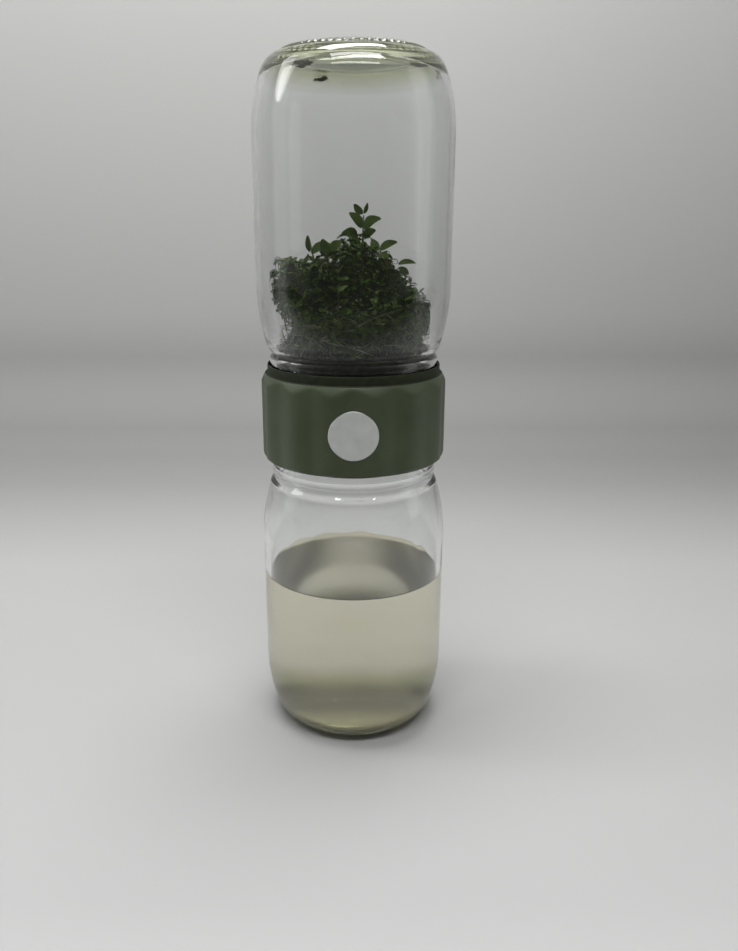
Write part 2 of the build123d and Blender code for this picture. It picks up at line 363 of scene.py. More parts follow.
fromMiddle = mathOf(tree, "SUBTRACT", (axes, "Z"), glass["middle"])
footward = mathOf(tree, "ABSOLUTE", (fromMiddle, "Value"))
thickness = mapRange(tree, (footward, "Value"), *glass["tinted"])
tint = colourRamp(tree, (thickness, "Result"), glass["tints"])
# painted shade: the dome's glass colour is darkened above the collar
mist = mapRange(tree, (axes, "Z"), *glass["domeShadeLevels"], 1.0, glass["mist"])
shadedTint = scaledBy(tree, (tint, "Color"), (mist, "Result"))
film = mapRange(tree, (footward, "Value"), *glass["filmed"], 1.0, glass["film"])
addSurface(tree, {"IOR": 1.5}, {"Base Color": (shadedTint, "Vector"), "Roughness": (haze, "Result"),
                                "Normal": (waveBump, "Normal"), "Transmission Weight": (film, "Result")})

# Nutrient water: slightly murky and yellow-green from the feed
nutrientWater, tree = newMaterial("nutrientWater")
cloud = colourRamp(tree, (noiseAt(tree, 22), "Fac"), {0.3: "#fcf8e4", 0.7: "#f9f3dc"})
addSurface(tree, {"Transmission Weight": 0.92, "IOR": 1.333, "Roughness": 0.22},
           {"Base Color": (cloud, "Color")})

# Polypropylene, injection moulded in dark olive green with a fine spark-eroded grain
mouldedGreen = mottledFinish(
    "mouldedPolypropylene", {0.25: "#3c4630", 0.75: "#465039"},
    patchMm=18, grainMm=0.5, grainShare=0.35, roughness=0.42,
    sockets={"IOR": 1.49, "Specular IOR Level": 0.5})

# Satin ABS disc, pale grey and faintly mottled where fingers press it
satinBadge = mottledFinish(
    "satinBadgePlastic", {0.3: "#b8bbb7", 0.7: "#c4c6c2"},
    patchMm=5, grainMm=0.35, grainShare=0.15, roughness=0.38, sockets={"IOR": 1.53})

# Nitrile rubber, pressed: near black with a soft olive bloom
blackRubber = mottledFinish(
    "pressedRubber", {0.35: "#1b210f", 0.8: "#272e18"},
    patchMm=4, grainMm=0.3, grainShare=0.3, roughness=0.65,
    sockets={"IOR": 1.52, "Specular IOR Level": 0.3})

# Polypropylene basket, black, moulded with a satin skin
basketPlastic = mottledFinish(
    "basketPolypropylene", {0.3: "#191b17", 0.7: "#22251f"},
    patchMm=10, grainMm=0.5, grainShare=0.25, roughness=0.4, sockets={"IOR": 1.49})

# Needled wool felt, damp: grey-brown, hairy and with no shine
needledFelt = mottledFinish(
    "needledFelt", {0.3: "#5a5548", 0.7: "#79725f"},
    patchMm=3, grainMm=0.4, grainShare=0.9, roughness=0.9, sockets={"Sheen Weight": 0.3})

# Damp potting soil: near black crumbs with peaty brown ones
dampSoil = mottledFinish(
    "dampPottingSoil", {0.35: "#1c220d", 0.6: "#2c2e16", 0.75: "#3e3a21"},
    patchMm=2.5, grainMm=0.7, grainShare=1.0, roughness=0.85)

# Dry grass stalks: pale olive straw, greyed by damp, with a slight waxy gloss
dryStraw = mottledFinish(
    "dryStraw", {0.3: "#414a28", 0.55: "#747c58", 0.8: "#a9ae8c"},
    patchMm=6, grainMm=0.4, grainShare=0.4, roughness=0.55)

# Cushion moss: matt, dark olive, mottled lighter in patches. Scraps of it dried pale on the glass
mossLook = {"patchMm": 3, "grainMm": 0.5, "grainShare": 0.8, "roughness": 0.85,
            "sockets": {"Specular IOR Level": 0.25}}
cushionMoss = mottledFinish("cushionMoss", {0.25: "#2e450a", 0.55: "#405a12", 0.8: "#587223"}, **mossLook)
driedMoss = mottledFinish("driedMoss", {0.3: "#6d7352", 0.7: "#8d9270"}, **mossLook)

# Small fleshy leaves: a waxy skin over light green flesh that lets some light through
leafLook = {"patchMm": 7, "grainMm": 0.8, "grainShare": 0.3, "roughness": 0.465, "uneven": 0.085,
            "grainDetail": 3, "grainDepth": 0.25,
            "sockets": {"IOR": 1.42, "Subsurface Weight": 0.1, "Subsurface Scale": 0.4 * mm}}
leafGreen = mottledFinish("waxyLeaf", {0.25: "#374c0d", 0.5: "#486118", 0.8: "#5e762e"}, **leafLook)
frondGreen = mottledFinish("featherMoss", {0.25: "#334d09", 0.5: "#466216", 0.8: "#5d762e"}, **leafLook)
print("materials ready")


# Jars: one outline in the jar's own levels, which the dome turns upside down. The foot's knobs
# stand in rows at the radii beadRows, and the floor and inner heel keep their own points

jar = {"steps": 420, "longest": 4.0, "ownPoints": 20, "radius": 48.0, "wall": 2.8,
       "dip": 3.5, "bearing": 27.2, "floorTop": 5.5, "innerHeel": (32, 15.5), "belly": (-32, 36),
       "threadRise": 6.35, "threadProud": 1.3, "threadWidth": 2.9, "threadRows": 0.5,
       "threadStart": 149.2, "threadEnd": 158.2, "threadLevel": 146, "threadRadius": 41,
       "beads": 60, "beadDepth": 0.85, "beadRows": (29.4, 33.1), "beadSpread": 1.75, "outerLift": 0.22,
       "ripple": 0.12, "ripplesAround": 2.2, "rippleLength": 45}


def jarOutline():
    heel, belly, shoulder = (30.2, 14), jar["belly"], (-45, 105.3)    # the centres of its arcs
    outline = [Vector((r, jar["dip"] - (r / jar["bearing"]) ** 2 * jar["dip"]))
               for r in (0, 6, 12, 17, 21, 23.5, 24.5, 25, 25.5, 26, 26.4, 26.8)]
    outline += [Vector((jar["bearing"] + 0.33 * step, 0)) for step in range(10)]
    outline += arcPath(heel, 14, -88.5, -69, 14) + arcPath(heel, 14, -66, -19.48, 11)
    outline += arcPath(belly, 80, -19.48, 0, 8)[1:]
    outline += arcPath(shoulder, 93, 0, 16.88, 10)
    outline += filletPath([outline[-1], (43.4, 134.7), (41.3, 137.3), (41.3, 139.0)], (5, 3), 6)[1:]
    outline += arcPath((38.4, 141.3), 3.9, -36, 32, 8)
    mouth = [(41.6, 143.4), (41.6, 160), (39.1, 160), (39.1, 137.5), (40.6, 134.9), (41.06, 132.3)]
    outline += filletPath(mouth, (0.8, 0.8, 5, 6))
    outline += arcPath(shoulder, 90.2, 17.4, 0, 10)
    outline += arcPath(belly, 77.2, 0, -17.75, 8)
    outline += arcPath(jar["innerHeel"], 10, -17.75, -90, 12)[1:]
    outline += atLevel(jar["floorTop"], (28, 22, 16, 10, 5, 0))
    split = splitPath(outline[:-jar["ownPoints"]], jar["longest"]) + outline[-jar["ownPoints"]:]
    fine = [split[0]]
    for a, b in zip(split, split[1:]):
        inThread = min(a.y, b.y) > jar["threadLevel"] + 1 and min(a.x, b.x) > jar["threadRadius"]
        if inThread and (b - a).length > 0.6:
            fine += splitPath([a, b], jar["threadRows"])[1:]
        elif (b - a).length > shortest:
            fine.append(b)
    return fine


def threadAt(angle, height, phase, width, low, high):
    # a rounded ridge, fading out at both ends of its run, off as the distance from its middle
    rise = jar["threadRise"]
    off = abs((height - phase - angle / math.tau * rise + rise / 2) % rise - rise / 2) / (width / 2)
    fade = between(height, low, low + 1.5) * between(-height, -high, 1.5 - high)
    return fade * (1 - between(off, 0.35, 1.0))


def shapeJar(flipped):
    # thread, knurled foot and moulding ripple, for the jar standing or upside down
    low, high = jar["threadStart"], jar["threadEnd"]
    if flipped:
        low, high = fullHeight - high, fullHeight - low

    def shape(radius, angle, height):
        level = fullHeight - height if flipped else height
        if level > jar["threadLevel"] and radius > jar["threadRadius"]:
            radius += jar["threadProud"] * threadAt(angle, height, 0, jar["threadWidth"], low, high)
        if level < 3 and 23 < radius < 40:
            knob = 0
            for row, middle in enumerate(jar["beadRows"]):
                around = ((angle * jar["beads"] / math.tau + row * 0.5) % 1) * 2 - 1
                knob = max(knob, 1 - ((radius - middle) / jar["beadSpread"]) ** 2 - around ** 2)
            footBand = between(radius, 23.5, 26.5) * between(-radius, -40, -34.5)
            dent = jar["beadDepth"] * (1 - math.sqrt(knob)) * footBand
            dent -= jar["outerLift"] * math.sqrt(knob) * between(radius, 30.8, 32)
            height += -dent if flipped else dent
        if radius > 30 and 10 < level < 130:
            inner = 1 if radius < 46.5 else 0.3    # the outside of the wall ripples less
            place = ringSpot(jar["ripplesAround"], angle, height / jar["rippleLength"])
            fade = between(level, 10, 25) * between(-level, -130, -112)
            radius += jar["ripple"] * inner * fade * min(0, noise.noise(place) - 0.2)
        return radius, height
    return shape


fullHeight = cadBox[1].z / mm
outline = jarOutline()
reservoirGlass = turnOutline(outline, jar["steps"])
shapeByPlace(reservoirGlass, shapeJar(False))
finishPiece(reservoirGlass, "reservoirGlass", "reservoir", jarGlass, ["reservoir_jar"])
domeGlass = turnOutline([Vector((point.x, fullHeight - point.y)) for point in outline], jar["steps"])
shapeByPlace(domeGlass, shapeJar(True))
finishPiece(domeGlass, "domeGlass", "dome", jarGlass, ["dome_jar"])
print("jars turned:", len(outline), "points in the outline")


# Water, a hair wider than the cavity so that glass and water share one wall, with a meniscus

water = {"level": 84.24, "overlap": 0.12, "meniscus": 0.9, "creep": 2.0, "steps": 288}
wallRadius = jar["radius"] - jar["wall"] + water["overlap"]
outline = atLevel(jar["floorTop"] - water["overlap"], (0, 10, 20))
outline += arcPath(jar["innerHeel"], 10 + water["overlap"], -90, -17.75, 12)
outline += arcPath(jar["belly"], 77.2 + water["overlap"], -17.75, 0, 8)[1:]
outline += [Vector((wallRadius, z)) for z in (46, 56, 66, 76, 82, water["level"] + water["meniscus"])]
outline += [Vector((wallRadius - step * 0.35, water["level"] + water["meniscus"] * math.exp(-step * 0.55)))
            for step in range(1, 9)]
outline += atLevel(water["level"], (41, 36, 28, 20, 12, 0))
waterBody = turnOutline(outline, water["steps"])


def creepWater(radius, angle, height):
    # a film that stands unevenly higher on the back wall
    if height > water["level"] + 0.02 and radius > 42:
        climb = 0.5 + noise.noise(ringSpot(5, angle)) + 0.4 * noise.noise(Vector((angle * 9, 0, 4)))
        atBack = between(math.sin(angle), 0.1, 0.6)
        height += water["creep"] * max(0, climb) * atBack * (height - water["level"]) / water["meniscus"]
    return radius, height


shapeByPlace(waterBody, creepWater)
finishPiece(waterBody, "waterBody", "reservoir", nutrientWater, ["nutrient_water"])
print("water filled to", water["level"], "mm")


# Collar: fluted outside, threaded bore above and below an inner shelf

collar = {"steps": 224, "outer": 47.0, "base": 147.3, "top": 190.9, "seat": 189.7, "ridge": 46.95,
          "floor": 45.5, "flutes": 14, "bore": 43.4, "shelfBore": 35.0, "shelfBase": 162.4, "shelfTop": 174.6,
          "ringSeat": 44.6, "foot": 3.4, "lip": 44.9, "bevelWidth": 1.8, "bevelHeight": 4.4,
          "threadProud": 1.25, "threadWidth": 2.6,
          "badgeRadius": 12.15, "badgeFace": 44.4, "badgeLevel": 168.0, "cutterDepth": 6.0}
c = collar


def inBore(radius):
    return abs(radius - c["bore"]) < 0.1


def shapeCollar(radius, angle, height):
    if radius > c["lip"]:
        turn = (angle + math.pi / 2) * c["flutes"]
        share = (0.5 - 0.5 * math.cos(turn)) ** 0.8    # 0 in a flute, 1 on a ridge
        radius = min(radius, c["floor"] + (c["ridge"] - c["floor"]) * share)
    elif inBore(radius):
        phase = jar["threadRise"] / 2
        for low, high in ((c["base"] + 0.8, c["shelfBase"] - 2.5), (c["shelfTop"] + 3.5, c["top"] - 3)):
            if low < height < high:
                radius -= c["threadProud"] * threadAt(angle, height, phase, c["threadWidth"], low, high)
    return radius, height


outer = arcPath((c["outer"] - c["foot"], c["base"] + c["foot"]), c["foot"], -90, 0, 10)
outer += [Vector((c["outer"], z)) for z in (155, 160, 165, 170, 175, 180, 184, c["top"] - c["bevelHeight"])]
outer += [Vector((c["outer"] - c["bevelWidth"] * share - 0.25 * share ** 4,
                  c["top"] - c["bevelHeight"] * (1 - share))) for share in (0.25, 0.5, 0.75, 0.93)]
outer += [Vector((c["lip"] + 0.1, c["top"] - 0.05)), Vector((c["lip"], c["top"]))]
corners = [outer[-1], (c["ringSeat"], c["top"]), (c["ringSeat"], c["seat"]), (c["bore"], c["seat"]),
           (c["bore"], c["shelfTop"]), (c["shelfBore"], c["shelfTop"]), (c["shelfBore"], c["shelfBase"]),
           (c["bore"], c["shelfBase"]), (c["bore"], c["base"]), (outer[0].x, c["base"])]
inner = filletPath(corners, (0.12, 0.15, 0.15, 0.4, 0.6, 0.6, 0.4, 0.4), 3)
outline = splitPath(outer, 1.6)
for a, b in zip(inner, inner[1:]):
    outline += splitPath([a, b], 0.55 if inBore(a.x) and inBore(b.x) else 3)[1:]
flutedCollar = turnOutline(outline, c["steps"])
shapeByPlace(flutedCollar, shapeCollar)
place = (0, -(c["badgeFace"] + c["cutterDepth"] / 2) * mm, c["badgeLevel"] * mm)
seatCutter = drawPrimitive(bpy.ops.mesh.primitive_cylinder_add, vertices=96, radius=c["badgeRadius"] * mm,
                           depth=c["cutterDepth"] * mm, rotation=(math.pi / 2, 0, 0), location=place)
cut = flutedCollar.modifiers.new("badgeSeat", "BOOLEAN")
cut.operation = "DIFFERENCE"
cut.object = seatCutter
applyModifiers(flutedCollar)
discard(seatCutter)
finishPiece(flutedCollar, "flutedCollar", "coupling", mouldedGreen, ["coupling_collar"], 30)

badge = {"radius": 12.0, "back": 44.4, "front": 46.0, "edge": 0.5, "steps": 128}
outline = filletPath([(0, badge["back"]), (badge["radius"], badge["back"]), (badge["radius"], badge["front"]),
                      (0, badge["front"])], (0.2, badge["edge"]))
outline = outline[:-1] + atLevel(badge["front"], (11, 10, 7, 4, 0))
badgeDisc = turnOutline(outline, badge["steps"])
badgeDisc.data.transform(turned(math.pi / 2, "X"))    # its face from +Z to -Y
badgeDisc.location = (0, 0, c["badgeLevel"] * mm)
finishPiece(badgeDisc, "badgeDisc", "coupling", satinBadge, ["badge_disc"])
print("collar and badge ready")


# Rubber: two gaskets with a sealing rib on each face, and the ring that covers the collar's mouth

rubber = {"steps": 144, "inner": 38.7, "outer": 41.6, "rib": 0.25,
          "gaskets": {"lowerGasket": (160.0, 162.4, "lower_seal", "lower_gasket"),
                      "upperGasket": (176.6, 179.0, "rim_seal", "upper_gasket")}}
for name, (base, top, body, node) in rubber["gaskets"].items():
    inside, outside, rib = rubber["inner"], rubber["outer"], rubber["rib"]
    ribStart, ribTop, ribEnd = (inside + (outside - inside) * share for share in (0.3, 0.5, 0.7))
    middle = (base + top) / 2
    corners = [(inside, middle), (inside, base + rib), (ribStart, base + rib), (ribTop, base),
               (ribEnd, base + rib), (outside, base + rib), (outside, top - rib), (ribEnd, top - rib),
               (ribTop, top), (ribStart, top - rib), (inside, top - rib), (inside, middle)]
    outline = filletPath(corners, (0.3, 0.2, 0.4, 0.2, 0.3, 0.3, 0.2, 0.4, 0.2, 0.3), 3)
    gasket = turnOutline(outline, rubber["steps"])
    finishPiece(gasket, name, body, blackRubber, [node])

neckBand = {"inner": 43.05, "outer": 43.6, "flange": 44.3, "base": 189.7, "flangeTop": 190.6, "top": 195.6,
            "seam": 192}
n = neckBand
corners = [(n["inner"], n["seam"]), (n["inner"], n["base"]), (n["flange"], n["base"]),
           (n["flange"], n["flangeTop"]), (n["outer"], n["flangeTop"] + 0.6), (n["outer"], n["top"]),
           (n["inner"], n["top"]), (n["inner"], n["seam"])]
neckRing = turnOutline(splitPath(filletPath(corners, (0.3, 0.2, 0.3, 0.6, 0.5, 0.3)), 1.5), rubber["steps"])
finishPiece(neckRing, "neckRing", "neck_band", blackRubber, ["neck_ring"])
print("gaskets and neck ring ready")


# Basket: the moulded solid as it is, with its own plastic
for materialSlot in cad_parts["net_basket"].material_slots:
    materialSlot.material = basketPlastic

felt = {"radius": 29.3, "base": 145.2, "top": 147.2, "hairs": 260, "seed": 3, "steps": 96}


def pitFelt(radius, angle, height):
    pit = 0.5 * abs(noise.noise(ringSpot(radius, angle, height) * 0.8))
    return radius, height - pit * (height > 146.5)


rng = random.Random(felt["seed"])
outline = filletPath([(0, felt["base"]), (felt["radius"], felt["base"]), (felt["radius"], felt["top"]),
                      (0, felt["top"])], (0.6, 0.7), 3)
feltDisc = turnOutline(splitPath(outline, 1.4), felt["steps"])
shapeByPlace(feltDisc, pitFelt)
hair = drawTube([(0, 0, 0), (0.4, 0.1, 0.5), (0.9, -0.2, 0.6), (1.6, 0.1, 0.3)], 0.05)
hairs = []
for count in range(felt["hairs"]):
    angle, radius = anyTurn(), felt["radius"] * math.sqrt(rng.random()) * 0.97
    place = movedTo(ringSpot(radius, angle, felt["top"] - 0.45))
    hairs.append(copyTo(hair, place @ turned(anyTurn()) @ turned(upTo(0.3), "X")))
discard(hair)
feltDisc = joinPieces([feltDisc] + hairs)
finishPiece(feltDisc, "feltDisc", "planter", needledFelt, ["filter_felt"], 60)


# Soil: fills the basket and heaps over its upstand, with loose crumbs on top

soil = {"crumbs": 420, "crumbKinds": 4, "seed": 7, "rim": 38.5, "top": 204.0, "steps": 120}


def shapeSoil(radius, angle, height):
    rough = noise.fractal(ringSpot(radius, angle, height) * 0.22, 1.0, 2.0, 3)
    if height > 196 and radius < 38:
        height += 1.3 * rough
    if radius > 20:
        radius -= 0.55 * max(0, rough + 0.35)
    return radius, height


rng = random.Random(soil["seed"])
outline = filletPath([(0, 147.3), (29.2, 147.3), (31.7, 176.9), (35.4, 176.9), (35.4, 194.4), (38.5, 194.4),
                      (38.5, 204), (0, 204)], (1, 1, 1, 1, 1.2, 2.2), 3)
soilHeap = turnOutline(splitPath(outline, 1.7), soil["steps"])
shapeByPlace(soilHeap, shapeSoil)
crumbKinds = []
for kind in range(soil["crumbKinds"]):
    crumb = drawPrimitive(bpy.ops.mesh.primitive_ico_sphere_add, subdivisions=1, radius=1)
    for vertex in crumb.data.vertices:
        vertex.co *= rng.uniform(0.7, 1.2)
    crumbKinds.append(crumb)
crumbs = []
for count in range(soil["crumbs"]):
    angle, radius = anyTurn(), soil["rim"] * math.sqrt(rng.uniform(0.02, 0.93))
    size = rng.uniform(0.4, 1.3) * mm
    place = movedTo(ringSpot(radius, angle, soil["top"] + rng.uniform(-0.3, 0.8)))
    place = place @ turned(anyTurn(), Vector((upTo(1), upTo(1), 1)))
    crumbs.append(copyTo(rng.choice(crumbKinds), place @ Matrix.Diagonal((size, size * 0.8, size * 0.7, 1))))
discard(*crumbKinds)
soilHeap = joinPieces([soilHeap] + crumbs)
finishPiece(soilHeap, "soilHeap", "planter", dampSoil, ["growing_medium"], 50)
print("felt and soil ready")


# Plants: one leaf, shoots made of leaves, and fronds for the feathery moss

planting = {"radius": 38.6, "soil": 204.0, "belly": 3.6, "bellyLevels": (219, 230), "soft": 2,
            "root": 5.6, "tallest": 66.0, "sway": 0.8, "stem": 0.7, "pairSpacing": 4.6, "bareStem": 16,
            "shootReach": 6, "shootRise": 4, "shootTilt": 0.5, "seed": 34}
leaf = {"length": 5.6, "width": 3.9, "thick": 0.2, "fold": 0.28, "droop": 0.16, "stalk": 0.6, "seed": 21}


def growLeaf(length, width, fold, droop, sweep=0.0):
    # an oval leaf along X, folded at its midrib, bent down at its tip and swept to one side
    blade = drawPrimitive(bpy.ops.mesh.primitive_grid_add, x_subdivisions=5, y_subdivisions=2, size=1)
    for vertex in blade.data.vertices:
        along, across = vertex.co.x + 0.5, vertex.co.y * 2
        half = width / 2 * (0.1 + 0.9 * max(0, math.sin(math.pi * (0.04 + 0.93 * along ** 0.85))) ** 0.8)
        vertex.co = Vector((leaf["stalk"] + length * along,
                            across * half - 4 * sweep * length * along * (along - 1),
                            fold * abs(across) * half - droop * length * along ** 2)) * mm
    shell = blade.modifiers.new("thickness", "SOLIDIFY")
    shell.thickness = leaf["thick"] * mm
    shell.offset = 0
    applyModifiers(blade)
    return blade


def growLeaflet(length, width, taper, rise):
    # a flat pointed leaflet along X
    leaflet = drawPrimitive(bpy.ops.mesh.primitive_plane_add, size=1)
    for vertex in leaflet.data.vertices:
        along = vertex.co.x + 0.5
        vertex.co = Vector((along * length, vertex.co.y * width * (1 - taper * along), along * rise)) * mm
    return leaflet


def leafPlace(height, turn, lift, size, roll=0):
    # where a leaf goes on an upright stem, its angles in degrees
    aim = turned(math.radians(turn)) @ turned(math.radians(-lift), "Y") @ turned(math.radians(roll), "X")
    return movedTo((0, 0, height)) @ aim @ Matrix.Scale(size, 4)


def growShoot(pairs, spacing, size):
    # an upright shoot with its tip at the origin, leaves in crossed pairs
    length = pairs * spacing + 8
    bend = upTo(1.2)
    path = [(0, 0, -length), (bend * 0.5, 0.4, -length * 0.6), (bend * 0.6, -0.3, -length * 0.3), (0, 0, 0)]
    parts = [drawTube(path, 0.42, (1.2, 1.0, 0.8, 0.5))]
    for pair in range(pairs):
        share = (pair + 0.4) / pairs
        for side in (0, 180):
            turn = pair * 90 + side + upTo(25)
            lift = 38 - 40 * share + upTo(18)
            scale = size * (0.6 + 0.45 * share) * rng.uniform(0.85, 1.12)
            level = -pair * spacing + upTo(0.5)
            blade = rng.choice(leafKinds)
            parts.append(copyTo(blade, leafPlace(level, turn, lift, scale, upTo(35))))
    return joinPieces(parts)


def growFrond(length, leaflets, bow):
    # a feather-moss frond that rises and bows over, its leaflets in a comb on both sides
    leaflet = growLeaflet(1.7, 1.1, 0.7 / 1.1, 0.3)
    path = [(0, 0, -length * 0.6), (0, 0, 0), (bow * 0.5, 0, length * 0.25), (bow, 0, 0)]
    parts = [drawTube(path, 0.2, (1.3, 1.2, 1, 0.5))]
    for count in range(leaflets):
        share = (count + 0.5) / leaflets
        spot = Vector((bow * share, 0, length * 0.6 * share * (1 - share)))
        for side in (60, -60):
            size = 1.2 - 0.7 * share ** 1.5
            parts.append(copyTo(leaflet, movedTo(spot) @ leafPlace(0, side, 25, size, count * 11)))
    discard(leaflet)
    return joinPieces(parts)


def finishPlant(piece, name, material, replaced=(), lowest=planting["soil"] + 0.5,
                limit=planting["radius"], belly=planting["belly"], smoothAngle=60):
    # presses in what would stand outside the limit, which widens in the dome's belly
    def shape(radius, angle, height):
        edge = limit + belly * between(height, *planting["bellyLevels"]) - planting["soft"]
        if radius > edge:
            radius = edge + planting["soft"] * (1 - math.exp((edge - radius) / planting["soft"]))
        return radius, max(lowest, height)
    shapeByPlace(piece, shape)
    finishPiece(piece, name, "planter", material, replaced, smoothAngle)


rng = random.Random(leaf["seed"])
shares = ((1, 1, 1, 1), (1.1, 0.9, 1.6, 1.8), (0.85, 1.05, 0.4, 0.3), (1.0, 0.9, -0.6, 2.2))
leafKinds = [growLeaf(leaf["length"] * a, leaf["width"] * b, leaf["fold"] * f, leaf["droop"] * d)
             for a, b, f, d in shares]
shoots = ((3, 2.6, 0.68), (4, 2.4, 0.72), (3, 2.8, 0.85), (4, 2.6, 0.62), (3, 2.2, 0.6), (4, 2.8, 0.78))
shootKinds = [growShoot(*kind) for kind in shoots]
frondKinds = [growFrond(*kind) for kind in ((8, 9, 7), (6, 8, 6), (9, 11, 8.5))]
print("leaf, shoot and frond kinds grown")


# How high the planting reaches, as across and height: a mound, higher to the left
mound = {
    "base": 214,
    "ridge": ((-42, 242), (-37, 245), (-31, 244), (-26, 241), (-20, 244), (-13, 248), (-8, 252), (-3, 257),
              (4, 259), (9, 255), (12.8, 250), (16.5, 245), (22.6, 239), (26.3, 233), (32, 226), (38.6, 220))}


def plantTop(x, y):
    front = between(-y, 6, 34) * 0.8
    back = between(y, 14, 37) * 0.35
    return mound["base"] + (alongCurve(x, mound["ridge"]) - mound["base"]) * (1 - front) * (1 - back)


# Sprigs: where each stands, how tall it is, its lean, its side shoots, and how much of its top has
# no leaf pairs of its own, because crownLeaves gives it its leaves
sprigs = {
    "tall_centre": (0.06, 0.04, 1.0, (2.5, -1), 3, 16), "centre_left": (-0.3, -0.26, 0.76, (-1, -2), 4, 5),
    "centre_right": (0.42, -0.16, 0.74, (-3.5, 0), 4, 4), "centre_back": (0.02, 0.42, 0.72, (-3, 2), 4, 0),
    "inner_left": (-0.38, 0.16, 0.8, (-7, -2), 3, 10), "left_edge": (-0.77, -0.12, 0.62, (-1, 1), 5, 0),
    "left_low": (-0.58, -0.52, 0.4, (-1, -1), 4, 0), "front_left": (-0.18, -0.72, 0.44, (0, 1), 4, 0),
    "front": (0.26, -0.68, 0.42, (0, 0), 4, 0), "right_mid": (0.62, -0.46, 0.46, (1, -1), 4, 0),
    "right_low": (0.78, -0.02, 0.4, (2, 0), 4, 0), "back_right": (0.6, 0.46, 0.5, (1, 1), 4, 0),
    "back": (0.24, 0.75, 0.54, (0, 2), 4, 0), "back_left": (-0.28, 0.7, 0.58, (-1, 2), 4, 0),
    "left_back": (-0.68, 0.34, 0.6, (-2, 1), 5, 0)}
# Leaves that show against the light: foot across and up, tip across and up, width, sweep, depth
crownLeaves = {
    "tall_centre": (
        (4.6, 267.0, 0.4, 271.8, 3.4, 0.05, 0), (4.8, 267.0, 6.6, 272.4, 2.0, -0.05, 0),
        (4.4, 260.6, -2.0, 268.0, 4.4, -0.12, -1), (4.8, 260.0, 13.2, 265.6, 5.0, 0.2, 0),
        (2.6, 255.6, -5.6, 258.6, 4.8, -0.25, -2), (4.6, 256.0, 10.5, 260.0, 4.4, 0.15, -3),
        (4.0, 252.0, -3.0, 255.4, 4.4, -0.2, 2)),
    "inner_left": (
        (-21.7, 249.0, -22.7, 257.2, 3.0, 0.02, 0), (-21.7, 248.8, -29.6, 245.0, 2.6, 0.3, 0),
        (-21.4, 248.6, -11.6, 253.6, 4.4, 0.12, 0), (-20.6, 245.0, -12.4, 245.4, 4.2, -0.1, -1)),
    "centre_left": (
        (-11.5, 249.0, -14.6, 256.0, 5.2, 0.08, 0), (-11.0, 250.0, -5.6, 255.2, 4.6, 0.1, -1),
        (-10.6, 247.0, -8.8, 253.0, 4.0, 0.1, 1)),
    "centre_right": (
        (12.2, 250.6, 20.8, 254.8, 4.0, 0.1, 0), (12.4, 249.0, 17.0, 247.4, 3.6, 0.1, -1),
        (12.0, 250.0, 9.0, 256.0, 4.4, 0.05, 0)),
    "right_mid": ((20.6, 244.6, 29.2, 245.2, 2.6, 0.12, 6), (21.0, 243.0, 26.0, 240.0, 3.0, 0.1, 4))}


def growCrownLeaf(x, z, tipX, tipZ, width, sweep, y):
    # a leaf from its foot to its tip, its face turned more or less to the front
    along = Vector((tipX - x, upTo(1.5), tipZ - z))
    blade = growLeaf(along.length - leaf["stalk"], width, 0.15, 0.1, sweep)
    along.normalize()
    face = Vector((upTo(0.35), -1, rng.uniform(-0.1, 0.5)))
    across = face.cross(along).normalized()
    turn = Matrix((along, across, along.cross(across))).transposed().to_4x4()
    blade.data.transform(movedTo((x, y, z)) @ turn)
    return blade


def growSprig(name, across, back, heightShare, lean, sideShoots, bareTop):
    x, y = across * planting["radius"], back * planting["radius"]
    ground = planting["soil"]
    rise = heightShare * planting["tallest"] - bareTop * 0.2
    foot = ground - planting["root"]
    path = [Vector((x, y, foot)), Vector((x, y, ground))]
    for share in (0.3, 0.55, 0.8, 1.0):
        sway = 0 if share == 1 else 1
        swayX, swayY = sway * upTo(planting["sway"]), sway * upTo(planting["sway"])
        path.append(Vector((x + lean[0] * share ** 2 + swayX, y + lean[1] * share ** 2 + swayY,
                            ground + rise * share)))
    parts = [drawTube(path, planting["stem"], (1.05, 1.0, 0.9, 0.8, 0.65, 0.45), 1)]
    pairs = int((rise - bareTop - planting["bareStem"]) / planting["pairSpacing"])
    for pair in range(pairs):
        share = 1 - (bareTop + pair * planting["pairSpacing"]) / rise
        spot = Vector((x + lean[0] * share ** 2, y + lean[1] * share ** 2, 0))
        level = ground + rise * share - 0.8
        for side in (0, 180):
            size = (0.75 + 0.4 * min(1, pair / 3)) * rng.uniform(0.88, 1.15)
            lift = max(5, 45 - pair * 15) + upTo(14)
            turn = pair * 90 + side + upTo(30)
            place = movedTo(spot) @ leafPlace(level, turn, lift, size, upTo(40))
            parts.append(copyTo(rng.choice(leafKinds), place))
    for count in range(sideShoots):
        share = 0.5 + 0.36 * count / sideShoots
        turn = anyTurn()
        tip = Vector((x + lean[0] * share, y + lean[1] * share, ground + rise * share))
        tip += ringSpot(planting["shootReach"], turn, planting["shootRise"])
        tilt = turned(planting["shootTilt"], ringSpot(1, turn + math.pi / 2))
        parts.append(copyTo(rng.choice(shootKinds), movedTo(tip) @ tilt))
    for values in crownLeaves.get(name, ()):
        parts.append(growCrownLeaf(*values[:6], y + lean[1] + values[6]))
    pieceName = "sprig" + "".join(word.capitalize() for word in name.split("_"))
    finishPlant(joinPieces(parts), pieceName, leafGreen, ["sprig_" + name], foot)


rng = random.Random(planting["seed"])
for name, values in sprigs.items():
    growSprig(name, *values)
print("sprigs grown:", len(sprigs))


# Undergrowth between the sprigs: leafy shoots and feathery fronds, up to the mound's top
growth = {"shoots": 190, "fronds": 340, "darkFronds": 460, "seed": 55, "spread": 40, "lowest": 207,
          "tiltRadius": 38}


